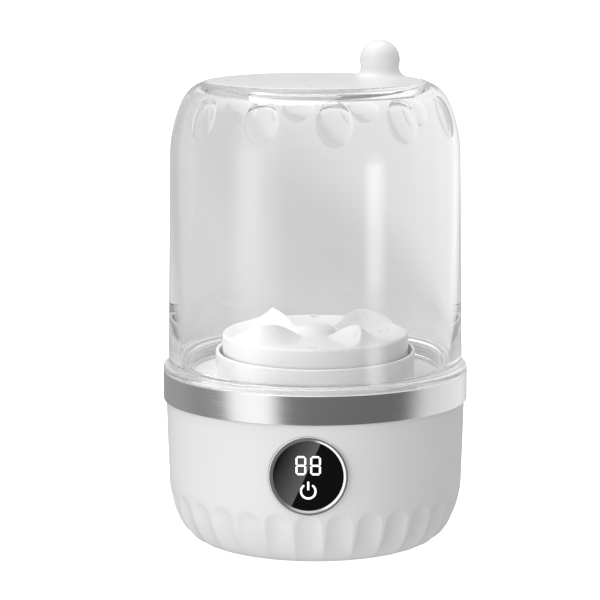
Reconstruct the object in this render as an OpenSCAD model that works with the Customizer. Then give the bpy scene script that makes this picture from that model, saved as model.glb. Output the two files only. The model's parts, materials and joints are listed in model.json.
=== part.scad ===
// Portable mini washer. A pulsator turns in a cup-shaped pedestal, under a clear barrel that lifts
// off a round base. The base holds a geared motor, the boards and a round touch display.
// The origin is on the ground under the centre, +Z is up and the display faces -Y.

/* [Base] */
// Radius of the housing wall just under the steel band
wall_r = 88.8; // [87:0.1:92]
// Height of the steel band's lower edge above the ground
wall_h = 87; // [84:1:94]
// Radius of the flat ring under the housing
flat_r = 63.3; // [60:0.1:65]
// Height above the ground at which the rounded bottom corner ends
corner_h = 42.5; // [36:0.5:48]
// Thickness of the moulded shell
shell_t = 2.6; // [2.2:0.1:3]
// Number of scallops round the foot
scallops = 30; // [24:1:36]
// Height of the scallops' top above the ground
scallop_high = 34; // [28:0.5:36]
// How far the rubber feet lift the housing off the ground
foot_h = 2; // [1:0.5:3]

/* [Steel band] */
// Height of the band
band_h = 17; // [15:0.5:19]
// Thickness of the band
band_t = 1.6; // [1.2:0.1:2.4]

/* [Clear barrel] */
// Height from the top of the band to the top of the lid
barrel_h = 171.5; // [150:0.5:200]
// Thickness of the barrel wall
barrel_t = 3.8; // [3:0.1:4.4]
// Number of thumb-print scallops round the shoulder
thumbs = 12; // [8:1:16]
// Radius of the round cut that makes a thumb-print, which sets its width
thumb_r = 42; // [30:1:60]

/* [Lid] */
// Radius of the lid plate
lid_r = 63.8; // [62:0.1:64.5]
// Diameter of the ball knob
knob_d = 24.2; // [18:0.1:28]
// Distance of the knob from the lid's centre
knob_at = 52; // [42:0.5:52]
// Direction of the knob, measured from +X
knob_angle = 44.6; // [0:0.1:360]

/* [Pulsator] */
// Outer radius of the pedestal cup
cup_r = 60.2; // [59:0.1:60.6]
// Outer radius of the pulsator
pulsator_r = 55.8; // [53:0.1:56.2]
// Number of fins on the pulsator
fins = 4; // [3:1:6]

/* [Display] */
// Outer diameter of the metal bezel
bezel_d = 46.2; // [44:0.1:50]
// Diameter of the black lens
lens_d = 40.2; // [38:0.1:40.4]
// Height of the display's centre above the ground
display_h = 57.4; // [54:0.1:60]
// Height of the lit digits
digit_h = 11.1; // [9:0.1:13]

/* [Hidden] */

$fn = 96;
eps = 0.01;
// Running clearance of a shaft in its bush, and the gap between curved pieces that move apart
running = 0.05;
clear = 0.3;

// Heights of the main levels, from the ground up
band_top = wall_h + band_h;
floor_top = band_top - 11;
floor_t = 3;
lid_top = band_top + barrel_h;
cup_rim = floor_top + 19;
cup_floor = floor_top + 11;
cup_floor_t = 3;
pulsator_rim = floor_top + 30.5;

// Housing
corner_power = 2.1;
corner_steps = 14;
wall_lean = 1.4;
corner_reach = wall_r - wall_lean - flat_r;
collar_in = wall_r - shell_t;
ledge_in = 46;
cover_r = 58.8;
cover_t = 2.2;
cover_screw_at = 52;
foot_at = 50;
foot_r = 6;
scallop_r = 18;
scallop_low = 8.5;

// Display
display_y = -(wall_r - 0.2);
bezel_r = bezel_d / 2;
bezel_t = 4;
lens_r = lens_d / 2;
lens_t = 2;
digit_w = digit_h * 0.547;
digit_gap = digit_h * 0.205;
digits_up = 6.2;
stroke = 1.1;
symbol_r = 4.7;
symbol_down = 8.7;
symbol_open = 40;
board_gap = 6.4;
board_screw_at = 18;
window_r = 16;

// Pedestal, gearbox and drive
cup_t = 2;
boss_at = 50;
box_top = floor_top + 6.5;
box_t = 2.5;
box_floor = box_top - 27.5;
shaft_r = 4;
bush_r = 7;
idler_at = 32;
motor_turn = 135;
tooth_small = 16;
tooth_large = 48;
module_out = 1;
module_in = 0.7;
motor_gap = module_in * (tooth_small + tooth_large) / 2;
motor_at = [idler_at + motor_gap * cos(motor_turn), motor_gap * sin(motor_turn)];
motor_r = 19;
motor_h = 50;
motor_shaft_r = 1.6;
rotor_r = 13;

// Pulsator
hub_low = cup_floor + 8;
hub_high = pulsator_rim - 0.5;
hub_top = pulsator_rim + 4.5;
valley = pulsator_rim - 1.6;
dome_r = 22;
cap_r = 8.1;
fin_peak = pulsator_rim + 9;
fin_turn = 15;
fin_spread = 20;
fin_phase = 47;
crest_r = 1.6;

// Clear barrel
skirt_r = 78;
flange_r = wall_r + 1.5;
flange_h = 3.5;
seat_gap = 0.2;
wall_low_r = wall_r - 1.5;
wall_top_r = wall_r - 3.2;
shoulder_h = 44.6;
shoulder_r = 80;
shoulder_turn = 23.4;
nose_r = 22.3;
nose_turn = 58.7;
// Centres of the shoulder's two arcs, as [r, z]
shoulder_c = [wall_top_r - shoulder_r, lid_top - shoulder_h];
nose_c = shoulder_c + (shoulder_r - nose_r) * [cos(shoulder_turn), sin(shoulder_turn)];
mouth_r = 60;
rebate_r = lid_r + 0.4;
lid_t = 3.5;
screw_in = 4;
thumb_low = 31;
thumb_high = 6;
thumb_phase = 10.4;

// ---- outlines and helpers ----

// Points on an arc, as [r, z]
function arc(c, r, from, to, steps) =
    [for (i = [0:steps]) let (a = from + (to - from) * i / steps) c + r * [cos(a), sin(a)]];

// Points on the rounded bottom corner, from its flat foot up to the wall
function corner(reach, rise, from = 0) =
    [for (i = [0:corner_steps]) let (t = 90 - (90 - from) * i / corner_steps)
        [flat_r + reach * pow(cos(t), 2 / corner_power), corner_h - rise * pow(sin(t), 2 / corner_power)]];

// Radius of the housing's outside at a height in the rounded corner
function corner_radius(z) = flat_r + corner_reach
    * pow(1 - pow((corner_h - z) / (corner_h - foot_h), corner_power), 1 / corner_power);

module ring(outer, inner, low, high) {
    translate([0, 0, low]) difference() {
        cylinder(h = high - low, r = outer);
        translate([0, 0, -1]) cylinder(h = high - low + 2, r = inner);
    }
}

module disc(r, low, high) {
    translate([0, 0, low]) cylinder(h = high - low, r = r);
}

module each_turn(count, phase = 0) {
    for (i = [0:count - 1]) rotate([0, 0, phase + i * 360 / count]) children();
}

// Moves something drawn round +Z so that its top faces -Y at the display
module at_display() {
    translate([0, display_y, display_h]) rotate([90, 0, 0]) children();
}

// Pan-head screw with its head's underside at z = 0, pointing down, with a crossed recess
module screw(shank_r, length, head_r, head_h) {
    translate([0, 0, -length]) cylinder(h = length + eps, r = shank_r, $fn = 32);
    difference() {
        cylinder(h = head_h, r1 = head_r, r2 = head_r * 0.85, $fn = 32);
        for (a = [0, 90]) rotate([0, 0, a]) translate([-head_r * 0.6, -0.3, head_h * 0.5])
            cube([head_r * 1.2, 0.6, head_h]);
    }
}

// ---- involute gears ----

function involute_turn(base_r, r) = let (t = sqrt(pow(r / base_r, 2) - 1)) t * 180 / PI - atan(t);

// Points up one flank of a tooth that is centred on +X, thinned for backlash
function flank(m, teeth, side) = let (
        pitch_r = m * teeth / 2,
        base_r = pitch_r * cos(20),
        root_r = pitch_r - 1.2 * m,
        tip_r = pitch_r + 0.9 * m,
        start_r = max(base_r, root_r) + eps,
        half = 90 / teeth - 0.05 / pitch_r * 180 / PI + involute_turn(base_r, pitch_r),
        steps = 5)
    concat([[root_r, -side * half * 1.06]],
        [for (i = [0:steps]) let (r = start_r + (tip_r - start_r) * i / steps)
            [r, -side * (half - involute_turn(base_r, r))]]);

function reversed(list) = [for (i = [len(list) - 1:-1:0]) list[i]];

module gear_outline(m, teeth) {
    tooth = concat(flank(m, teeth, 1), reversed(flank(m, teeth, -1)));
    polygon([for (i = [0:teeth - 1]) each [for (p = tooth)
        let (a = p[1] + i * 360 / teeth) [p[0] * cos(a), p[0] * sin(a)]]]);
}

module gear_blank(m, teeth, low, high) {
    translate([0, 0, low]) linear_extrude(high - low) gear_outline(m, teeth);
}

// ---- base ----

module housing_shell() {
    outer = concat(corner(corner_reach, corner_h - foot_h), [[wall_r, wall_h], [wall_r, band_top - 1]]);
    inner = corner(corner_reach - shell_t, corner_h - foot_h - shell_t, 9);
    rotate_extrude() difference() {
        polygon(concat([[0, foot_h]], outer, [[0, band_top - 1]]));
        polygon(concat([[0, foot_h + shell_t]], inner,
            [[collar_in, wall_h], [collar_in, band_top], [0, band_top]]));
        square([cover_r + 0.2, foot_h + shell_t + 1]);
    }
    ring(flat_r + 2, ledge_in, foot_h + shell_t, foot_h + shell_t + 2.4);
    // Shelf that the wash floor stands on
    rotate_extrude() polygon([[collar_in + eps, floor_top - 11], [collar_in + eps, floor_top - floor_t],
        [collar_in - 5, floor_top - floor_t], [collar_in - 5, floor_top - 6]]);
}

// Cylinder that lies along the bottom corner and cuts one scallop with a rounded outline
module scallop() {
    low = [corner_radius(scallop_low), scallop_low];
    high = [corner_radius(scallop_high), scallop_high];
    lean = atan2(high[0] - low[0], high[1] - low[1]);
    middle = (low + high) / 2 + scallop_r * [cos(lean), -sin(lean)];
    translate([middle[0], 0, middle[1]]) rotate([0, lean, 0])
        cylinder(h = corner_h, r = scallop_r, center = true);
}

module base_housing() {
    color("whitesmoke") difference() {
        union() {
            housing_shell();
            // Pad behind the display, kept inside the outer wall
            intersection() {
                at_display() disc(bezel_r + 2, -9.5, -3);
                disc(wall_r - 2, 0, wall_h);
            }
            each_turn(4) translate([cover_screw_at, 0, foot_h + shell_t]) difference() {
                cylinder(h = 9, r = 3.5);
                translate([0, 0, -eps]) cylinder(h = 8, r = 1.2);
            }
            // Stand-offs behind the power board
            for (x = [-19, 19]) translate([x, collar_in - 9, 52]) rotate([-90, 0, 0]) cylinder(h = 7, r = 3);
        }
        each_turn(scallops, -90) scallop();
        each_turn(4) translate([cover_screw_at, 0, foot_h]) cylinder(h = 10, r = 1.2);
        at_display() {
            disc(bezel_r + 0.1, -bezel_t, 20);
            disc(window_r, -20, 0);
            for (x = [-1, 1]) translate([x * board_screw_at, 0, 0]) disc(1, -12, -board_gap - 2);
        }
        for (x = [-19, 19]) translate([x, collar_in - 9 - eps, 52]) rotate([-90, 0, 0])
            cylinder(h = 5, r = 1.2);
        inlet_slot(0.3, 30);
    }
}

// Rounded slot for the power socket, through the back wall
module inlet_slot(grow, length) {
    translate([0, collar_in - 10, 40]) rotate([-90, 0, 0]) linear_extrude(length) {
        square([6 + grow, 3.2 + 2 * grow], center = true);
        for (x = [-3, 3]) translate([x, 0]) circle(r = 1.6 + grow);
    }
}

module bottom_cover() {
    color("gainsboro") difference() {
        disc(cover_r, foot_h + shell_t - cover_t, foot_h + shell_t);
        each_turn(4) translate([cover_screw_at, 0, 0]) {
            disc(1.6, 0, 10);
            disc(3, 0, foot_h + shell_t - 1.2);
        }
        each_turn(4, 45) translate([foot_at, 0, 0]) disc(2.5, 0, 10);
        each_turn(24) translate([26, 0, 0]) disc(1, 0, 10);
    }
}

module rubber_feet() {
    color("dimgray") each_turn(4, 45) translate([foot_at, 0, 0]) {
        disc(foot_r, 0, foot_h + shell_t - cover_t);
        disc(2.5, 1, foot_h + shell_t);
    }
}

module cover_screws() {
    color("silver") each_turn(4) translate([cover_screw_at, 0, foot_h + shell_t - 1.2])
        rotate([180, 0, 0]) screw(1.2, 7, 2.6, 1);
}

module steel_band() {
    edge = 0.5;
    color("silver") rotate_extrude($fn = 192) polygon([[wall_r, wall_h], [wall_r + band_t - edge, wall_h],
        [wall_r + band_t, wall_h + edge], [wall_r + band_t, band_top - edge],
        [wall_r + band_t - edge, band_top], [wall_r, band_top]]);
}

// Outline of the gearbox, grown by a wall or a clearance
module box_outline(grow) {
    circle(r = 30.2 + grow);
    translate([idler_at, 0]) circle(r = 19 + grow);
}

module tub_floor() {
    color("white") difference() {
        union() {
            disc(collar_in, floor_top - floor_t, floor_top);
            translate([0, 0, floor_top - floor_t - 4]) linear_extrude(5) box_outline(5.5);
        }
        translate([0, 0, floor_top - 20]) linear_extrude(40) box_outline(3.5);
        // Room for the gearbox's lugs and the heads of their screws
        for (p = gearbox_lugs()) translate(p) disc(5.2, floor_top - floor_t - 1, floor_top + 1);
        each_turn(4, 45) translate([boss_at, 0, 0]) disc(1.8, floor_top - 20, floor_top + 10);
    }
}

// ---- pedestal ----

module pedestal() {
    rim = 1;
    color("white") {
        difference() {
            rotate_extrude($fn = 192) polygon(concat([[cup_r - cup_t, floor_top], [cup_r, floor_top]],
                arc([cup_r - rim, cup_rim - rim], rim, 0, 90, 5),
                arc([cup_r - cup_t + 0.6, cup_rim - 0.6], 0.6, 90, 180, 4),
                [[cup_r - cup_t, cup_floor], [bush_r + 4, cup_floor], [bush_r + 4, cup_floor + 6.5],
                [bush_r + 1, cup_floor + 6.5], [bush_r + 1, cup_floor + 3.5], [bush_r, cup_floor + 3.5],
                [bush_r, box_top], [bush_r + 4, box_top],
                [bush_r + 4, cup_floor - cup_floor_t], [cup_r - cup_t, cup_floor - cup_floor_t]]));
            for (p = gearbox_lugs()) translate(p) disc(1.3, box_top, cup_floor - 0.8);
            each_turn(4, 45) translate([boss_at, 0, 0]) disc(1.3, floor_top, cup_floor - 0.8);
        }
        each_turn(4, 45) translate([boss_at, 0, 0]) ring(4, 1.3, floor_top, cup_floor - cup_floor_t + eps);
        for (p = gearbox_lugs()) translate(p) ring(4.5, 1.3, box_top, cup_floor - cup_floor_t + eps);
    }
}

function gearbox_lugs() = [[0, 36.5, 0], [0, -36.5, 0], [-36.5, 0, 0], [idler_at + 12, 21.5, 0]];

module pedestal_screws() {
    color("silver") each_turn(4, 45) translate([boss_at, 0, floor_top - floor_t])
        rotate([180, 0, 0]) screw(1.3, 10, 3, 2);
}

module pedestal_gasket() {
    color("gray") translate([0, 0, floor_top + 0.9]) rotate_extrude()
        translate([cup_r - cup_t - 0.9, 0]) circle(r = 0.9, $fn = 24);
}

module barrel_gasket() {
    color("lightgray") ring(wall_r - 4.2, skirt_r + 0.6, floor_top, floor_top + 1.5);
}

// ---- display ----

module display_bezel() {
    lip = 0.7;
    color("silver") at_display() rotate_extrude($fn = 192) polygon([[lens_r, -bezel_t], [bezel_r, -bezel_t],
        [bezel_r, -lip], [bezel_r - lip, 0], [lens_r + 0.9, 0], [lens_r, -0.5]]);
}

module display_lens() {
    color("black") at_display() difference() {
        disc(lens_r, -0.5 - lens_t, -0.5);
        translate([0, 0, -0.5 - lens_t - 1]) linear_extrude(1.01) circle(r = lens_r - 3);
    }
}

// One seven-segment figure with every segment lit, centred on the origin
module figure_eight() {
    mitre = 0.2;
    half_w = digit_w / 2;
    half_h = digit_h / 2;
    for (y = [-1, 0, 1]) translate([0, y * (half_h - stroke / 2)])
        polygon([[-half_w + stroke * 0.5 + mitre, 0], [-half_w + stroke + mitre, stroke / 2],
            [half_w - stroke - mitre, stroke / 2], [half_w - stroke * 0.5 - mitre, 0],
            [half_w - stroke - mitre, -stroke / 2], [-half_w + stroke + mitre, -stroke / 2]]);
    for (x = [-1, 1], y = [-1, 1]) translate([x * (half_w - stroke / 2), y * (half_h - stroke / 2) / 2]) {
        reach = (half_h - stroke / 2) / 2 - mitre;
        polygon([[0, reach], [stroke / 2, reach - stroke / 2], [stroke / 2, -reach + stroke / 2],
            [0, -reach], [-stroke / 2, -reach + stroke / 2], [-stroke / 2, reach - stroke / 2]]);
    }
}

module display_digits() {
    color("white") at_display() translate([0, digits_up, -0.5]) linear_extrude(0.12)
        for (x = [-1, 1]) translate([x * (digit_w + digit_gap) / 2, 0]) figure_eight();
}

module power_symbol() {
    bar = 5;
    color("white") at_display() translate([0, -symbol_down, -0.5]) linear_extrude(0.12) {
        difference() {
            circle(r = symbol_r);
            circle(r = symbol_r - stroke);
            polygon([[0, 0], [-10 * sin(symbol_open), 10 * cos(symbol_open)],
                [10 * sin(symbol_open), 10 * cos(symbol_open)]]);
        }
        for (x = [-1, 1]) rotate([0, 0, x * symbol_open]) translate([0, symbol_r - stroke / 2])
            circle(r = stroke / 2, $fn = 24);
        translate([-stroke / 2, symbol_r - bar + 1]) square([stroke, bar - stroke / 2]);
        translate([0, symbol_r + 1 - stroke / 2]) circle(r = stroke / 2, $fn = 24);
    }
}

module display_board() {
    color("darkgreen") at_display() difference() {
        disc(bezel_r - 0.5, -board_gap - 5.2, -board_gap - 3.6);
        for (x = [-1, 1]) translate([x * board_screw_at, 0, 0]) disc(1.1, -30, 0);
    }
}

module led_module() {
    color("dimgray") at_display() translate([-9, -1.4, -board_gap - 3.6])
        cube([18, digit_h + 2.6, board_gap + 0.6]);
}

module touch_pad() {
    color("gray") at_display() translate([0, -9, 0]) disc(3.4, -board_gap - 3.6, -2.5);
}

// ---- power board ----

module control_board() {
    color("darkgreen") translate([-26, collar_in - 10.6, 24]) difference() {
        cube([52, 1.6, 38]);
        for (x = [7, 45]) translate([x, -1, 28]) rotate([-90, 0, 0]) cylinder(h = 4, r = 1.3);
    }
}

module board_components() {
    color("dimgray") translate([0, collar_in - 10.6, 0]) {
        for (x = [-14, 2]) translate([x, 0, 30]) rotate([90, 0, 0]) cylinder(h = 10, r = 4);
        for (x = [-6, 6, 14]) translate([x, -1.6, 44]) cube([5, 1.6, 5]);
        translate([-22, -4, 38]) cube([7, 4, 10]);
        translate([8, -6, 27]) cube([10, 6, 10]);
    }
}

module board_screws() {
    color("silver") {
        for (x = [-19, 19]) translate([x, collar_in - 10.6, 52]) rotate([90, 0, 0]) screw(1.2, 6, 2.4, 1.6);
        for (x = [-1, 1]) at_display() translate([x * board_screw_at, 0, -board_gap - 5.2])
            rotate([180, 0, 0]) screw(1, 2.8, 2, 1.4);
    }
}

module power_inlet() {
    color("silver") intersection() {
        difference() {
            inlet_slot(0, 30);
            translate([0, 2.4, 0]) inlet_slot(-0.4, 30);
        }
        translate([-20, collar_in - 9, 30]) cube([40, 9 + shell_t - 1.8, 20]);
    }
}

// A lead drawn as straight runs with round corners
module lead(points, r) {
    for (i = [0:len(points) - 2]) hull() {
        translate(points[i]) sphere(r = r, $fn = 12);
        translate(points[i + 1]) sphere(r = r, $fn = 12);
    }
}

module wiring() {
    lead_r = 1.4;
    board_y = collar_in - 10.6;
    plug_at = motor_at + [6, 6];
    color("firebrick") {
        lead([[-18, board_y - 4 - lead_r, 44], [-18, 60, 44], [-50, 30, 44], [-50, -50, 50],
            [-8, -72, 50], [-8, display_y + board_gap + 5.2 + lead_r, 50]], lead_r);
        lead([[12, board_y - 6 - lead_r, 32], [12, 62, 32], [plug_at[0], 58, 12],
            [plug_at[0], plug_at[1], 12],
            [plug_at[0], plug_at[1], box_floor - motor_h - 2 - lead_r]], lead_r);
    }
}

// ---- motor ----

module at_motor() {
    translate([motor_at[0], motor_at[1], 0]) children();
}

module motor_can() {
    low = box_floor - motor_h;
    color("silver") at_motor() difference() {
        disc(motor_r, low, box_floor);
        disc(motor_r - 1.2, low - 1, box_floor - 3);
        disc(motor_shaft_r + running, low, box_floor + 1);
        for (s = [-1, 1]) rotate([0, 0, 135]) translate([s * 9.5, 0, 0]) disc(1.2, low, box_floor + 1);
    }
}

module motor_magnets() {
    low = box_floor - motor_h;
    color("dimgray") at_motor() difference() {
        ring(motor_r - 1.2, rotor_r + 0.8, low + 8, box_floor - 8);
        for (a = [0, 90]) rotate([0, 0, a]) translate([-30, -2, low]) cube([60, 4, motor_h]);
    }
}

module motor_endbell() {
    low = box_floor - motor_h;
    color("black") at_motor() {
        ring(motor_r - 1.2, motor_shaft_r + running, low - 2, low + 2.5);
        ring(5, motor_shaft_r + running, low + 2.5 - eps, low + 5);
    }
}

module motor_screws() {
    color("silver") at_motor() rotate([0, 0, 135]) for (s = [-1, 1])
        translate([s * 9.5, 0, box_floor + box_t]) screw(1.2, 5, 2.2, 1.3);
}

module motor_shaft() {
    color("silver") at_motor() disc(motor_shaft_r, box_floor - motor_h - 1, box_floor + 14.5);
}

module rotor_core() {
    low = box_floor - motor_h;
    color("peru") at_motor() difference() {
        ring(rotor_r, motor_shaft_r, low + 8, box_floor - 8);
        each_turn(9) translate([rotor_r, 0, low + 7]) disc(2.2, 0, motor_h);
    }
}

module motor_pinion() {
    color("gold") at_motor() difference() {
        rotate([0, 0, motor_turn + 180 + 180 / tooth_small])
            gear_blank(module_in, tooth_small, box_floor + 6, box_floor + 14);
        disc(motor_shaft_r, 0, box_top);
    }
}

// ---- gearbox ----

module gearbox_case() {
    high = box_top - box_t;
    color("slategray") difference() {
        union() {
            translate([0, 0, box_floor]) linear_extrude(high - box_floor) box_outline(2.5);
            for (p = gearbox_lugs()) translate(p) disc(4.5, high - 5, high);
        }
        difference() {
            translate([0, 0, box_floor + box_t]) linear_extrude(40) box_outline(0);
            disc(bush_r + 2.5, 0, box_floor + 8);
            translate([idler_at, 0, 0]) disc(6, 0, box_floor + 8);
        }
        disc(bush_r, box_floor + box_t, box_top);
        translate([idler_at, 0, 0]) disc(3, box_floor - 1, box_top);
        at_motor() disc(5, box_floor - 1, box_top);
        at_motor() rotate([0, 0, 135]) for (s = [-1, 1]) translate([s * 9.5, 0, 0]) disc(1.4, 0, box_top);
        for (p = gearbox_lugs()) translate(p) disc(1.6, 0, box_top);
    }
}

module gearbox_cover() {
    color("slategray") translate([0, 0, box_top - box_t]) difference() {
        union() {
            linear_extrude(box_t) box_outline(2.5);
            for (p = gearbox_lugs()) translate(p) disc(4.5, 0, box_t);
        }
        disc(shaft_r + 1, -1, box_t + 1);
        translate([idler_at, 0, 0]) disc(3, -1, box_t + 1);
        for (p = gearbox_lugs()) translate(p) disc(1.6, -1, box_t + 1);
    }
}

module gearbox_screws() {
    color("silver") for (p = gearbox_lugs()) translate([p[0], p[1], box_top - box_t - 5])
        rotate([180, 0, 0]) screw(1.3, 11, 2.8, 1.8);
}

module lower_bush() {
    color("goldenrod") ring(bush_r, shaft_r + running, box_floor + box_t, box_floor + 8);
}

module upper_bush() {
    color("goldenrod") ring(bush_r, shaft_r + running, box_top, cup_floor + 3.5);
}

module shaft_seal() {
    color("black") ring(bush_r + 1, shaft_r + running, cup_floor + 3.5, cup_floor + 6.5);
}

module idler_pin() {
    color("silver") translate([idler_at, 0, 0]) disc(3, box_floor, box_top);
}

module idler_gear() {
    color("ivory") translate([idler_at, 0, 0]) difference() {
        union() {
            rotate([0, 0, motor_turn]) gear_blank(module_in, tooth_large, box_floor + 8.5, box_floor + 13);
            rotate([0, 0, 180 + 180 / tooth_small])
                gear_blank(module_out, tooth_small, box_floor + 10, box_top - box_t - 1);
        }
        disc(3 + running, 0, box_top);
    }
}

module output_gear() {
    color("ivory") difference() {
        gear_blank(module_out, tooth_large, box_floor + 15.5, box_top - box_t - 1.5);
        disc(shaft_r, 0, box_top);
    }
}

module drive_shaft() {
    color("silver") difference() {
        disc(shaft_r, box_floor + box_t + 0.5, hub_high);
        disc(1.4, hub_high - 9, hub_high + 1);
    }
}

// ---- pulsator ----

// Ball on the pulsator at a distance, a direction and a height, to stretch a fin over
module fin_ball(r, turn, z) {
    rotate([0, 0, turn]) translate([r, 0, z - crest_r]) sphere(r = crest_r, $fn = 16);
}

// Wave-shaped fin whose crest rises from the hub to its peak and then turns towards the rim
module fin() {
    peak_at = pulsator_r * 0.68;
    hull() {
        fin_ball(12, 0, valley + 0.6);
        fin_ball(peak_at, 0, fin_peak);
        fin_ball(pulsator_r - 4, -fin_turn, pulsator_rim + 0.4);
        fin_ball(peak_at, -fin_spread, valley);
        fin_ball(peak_at, fin_spread, valley);
        fin_ball(pulsator_r - 4, fin_spread, valley + 0.8);
    }
}

module pulsator_disc() {
    rim = 2;
    color("white") difference() {
        union() {
            rotate_extrude($fn = 192) polygon(concat(
                [[pulsator_r - 2.2, hub_low - 5], [pulsator_r, hub_low - 5]],
                arc([pulsator_r - rim, pulsator_rim - rim], rim, 0, 90, 6),
                [[pulsator_r - 5, pulsator_rim - 0.3], [46, valley + 0.2], [30, valley], [18, valley + 0.2]],
                arc([0, hub_top - dome_r], dome_r, 50, acos(cap_r / dome_r), 4),
                [[cap_r, hub_high], [0, hub_high], [0, hub_low + 6], [22, hub_low + 4.5],
                [32, hub_low + 5.5], [44, hub_low + 6], [pulsator_r - 2.4, hub_low + 7.5]]));
            each_turn(fins, fin_phase) fin();
            disc(9, hub_low, hub_low + 8);
        }
        disc(shaft_r, 0, hub_high + 1);
        disc(cap_r, hub_high, lid_top);
        // Small drain holes in the valleys at the sides
        each_turn(2) for (p = [[33.5, 1.5], [35, -4.5], [38.5, 6], [43.5, 11]])
            translate(p) disc(0.7, hub_low, lid_top);
        // Round dimples near the rim, front and back
        each_turn(2, fin_phase + 45) translate([48, 0, pulsator_rim + 0.9]) sphere(r = 3.4);
    }
}

module hub_cap() {
    color("white") rotate_extrude() polygon(concat([[0, hub_high + 2], [cap_r, hub_high + 2]],
        arc([0, hub_top - dome_r], dome_r, acos(cap_r / dome_r), 90, 6)));
}

module pulsator_screw() {
    color("silver") translate([0, 0, hub_high]) screw(1.4, 8, 5, 1.8);
}

// ---- clear barrel ----

// Point on the shoulder's outside at a height
function shoulder_point(z) = let (rise = z - shoulder_c[1], up = z - nose_c[1])
    [rise < shoulder_r * sin(shoulder_turn)
        ? shoulder_c[0] + sqrt(pow(shoulder_r, 2) - pow(rise, 2))
        : nose_c[0] + sqrt(pow(nose_r, 2) - pow(up, 2)), z];

module barrel_shell() {
    seat = band_top + seat_gap;
    low = floor_top + 1.8;
    step_z = seat + flange_h - 0.4;
    edge = 1.6;
    foot_out = collar_in - 1.4;
    outer = concat([[skirt_r, low], [foot_out, low]],
        [for (i = [1:4]) each [[foot_out, low + 2 * i - 0.6], [collar_in - 0.35, low + 2 * i - 0.2],
            [collar_in - 0.35, low + 2 * i + 0.2], [foot_out, low + 2 * i + 0.6]]],
        [[foot_out, seat], [flange_r, seat]],
        arc([flange_r - edge, seat + flange_h - edge], edge, 0, 90, 5),
        [[wall_low_r, seat + flange_h]],
        arc(shoulder_c, shoulder_r, 0, shoulder_turn, 8),
        arc(nose_c, nose_r, shoulder_turn + 4.5, nose_turn, 9),
        [[rebate_r, lid_top - 0.1]]);
    inner = concat([[rebate_r, lid_top - lid_t - 0.1], [mouth_r, lid_top - lid_t - 0.1],
        [mouth_r, lid_top - 7.3]],
        arc(nose_c, nose_r - barrel_t, 51, shoulder_turn, 7),
        arc(shoulder_c, shoulder_r - barrel_t, shoulder_turn - 3, 0, 7),
        [[wall_low_r - barrel_t - 0.2, step_z], [skirt_r + 0.5, step_z]]);
    rotate_extrude($fn = 192) polygon(concat(outer, inner));
}

// Cylinder that lies along the shoulder and cuts one thumb-print with a rounded outline
module thumb() {
    low = shoulder_point(lid_top - thumb_low);
    high = shoulder_point(lid_top - thumb_high);
    lean = atan2(low[0] - high[0], high[1] - low[1]);
    middle = (low + high) / 2 + thumb_r * [cos(lean), sin(lean)];
    translate([middle[0], 0, middle[1]]) rotate([0, -lean, 0]) cylinder(h = 60, r = thumb_r, center = true);
}

module clear_barrel() {
    color("gainsboro", 0.4) difference() {
        barrel_shell();
        each_turn(thumbs, thumb_phase - 90) thumb();
    }
}

// ---- lid ----

module lid_plate() {
    low = lid_top - lid_t;
    edge = 0.8;
    color("white") difference() {
        union() {
            rotate_extrude($fn = 192) polygon(concat([[0, low], [lid_r, low]],
                arc([lid_r - edge, lid_top - edge], edge, 0, 90, 4), [[0, lid_top]]));
            ring(mouth_r - 1.6, mouth_r - 3.6, low - 4.5, low + eps);
        }
        rotate([0, 0, knob_angle]) translate([knob_at - screw_in, 0, 0]) disc(1.2, 0, lid_top + 1);
    }
}

// Ball that stands sunk in the lid's level, with a concave flare round its foot
module lid_knob() {
    ball_r = knob_d / 2;
    rise = ball_r * 0.81;
    flare = 5.4;
    reach = sqrt(pow(ball_r + flare, 2) - pow(rise - flare, 2));
    color("white") rotate([0, 0, knob_angle]) translate([knob_at, 0, lid_top]) difference() {
        union() {
            intersection() {
                rotate_extrude() difference() {
                    square([reach - 1.2, rise * 0.68]);
                    translate([reach, flare]) circle(r = flare);
                }
                translate([-knob_at, 0, 0]) cylinder(h = ball_r, r = lid_r - 0.8);
            }
            difference() {
                translate([0, 0, rise]) sphere(r = ball_r);
                translate([0, 0, -ball_r]) cylinder(h = ball_r, r = ball_r * 2);
            }
        }
        translate([-screw_in, 0, -1]) cylinder(h = 9, r = 1.2);
    }
}

module knob_screw() {
    color("silver") rotate([0, 0, knob_angle]) translate([knob_at - screw_in, 0, lid_top - lid_t])
        rotate([180, 0, 0]) screw(1.2, 10, 2.8, 1.6);
}

module lid_seal() {
    color("gainsboro") ring(mouth_r - clear, mouth_r - 1.6, lid_top - lid_t - 3.4, lid_top - lid_t - 1);
}

base_housing();
bottom_cover();
rubber_feet();
cover_screws();
steel_band();
tub_floor();
pedestal();
pedestal_screws();
pedestal_gasket();
barrel_gasket();
display_bezel();
display_lens();
display_digits();
power_symbol();
display_board();
led_module();
touch_pad();
control_board();
board_components();
board_screws();
power_inlet();
wiring();
motor_can();
motor_magnets();
motor_endbell();
motor_screws();
gearbox_case();
gearbox_cover();
gearbox_screws();
lower_bush();
upper_bush();
shaft_seal();
idler_pin();
pulsator_disc();
hub_cap();
pulsator_screw();
drive_shaft();
output_gear();
idler_gear();
motor_shaft();
rotor_core();
motor_pinion();
clear_barrel();
lid_plate();
lid_knob();
knob_screw();
lid_seal();
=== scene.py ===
"""Looks of the portable mini washer: camera, light, materials and finished meshes round the CAD frame."""
import json
import math

import bmesh
import bpy
import numpy as np
from mathutils import Matrix, Vector


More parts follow.
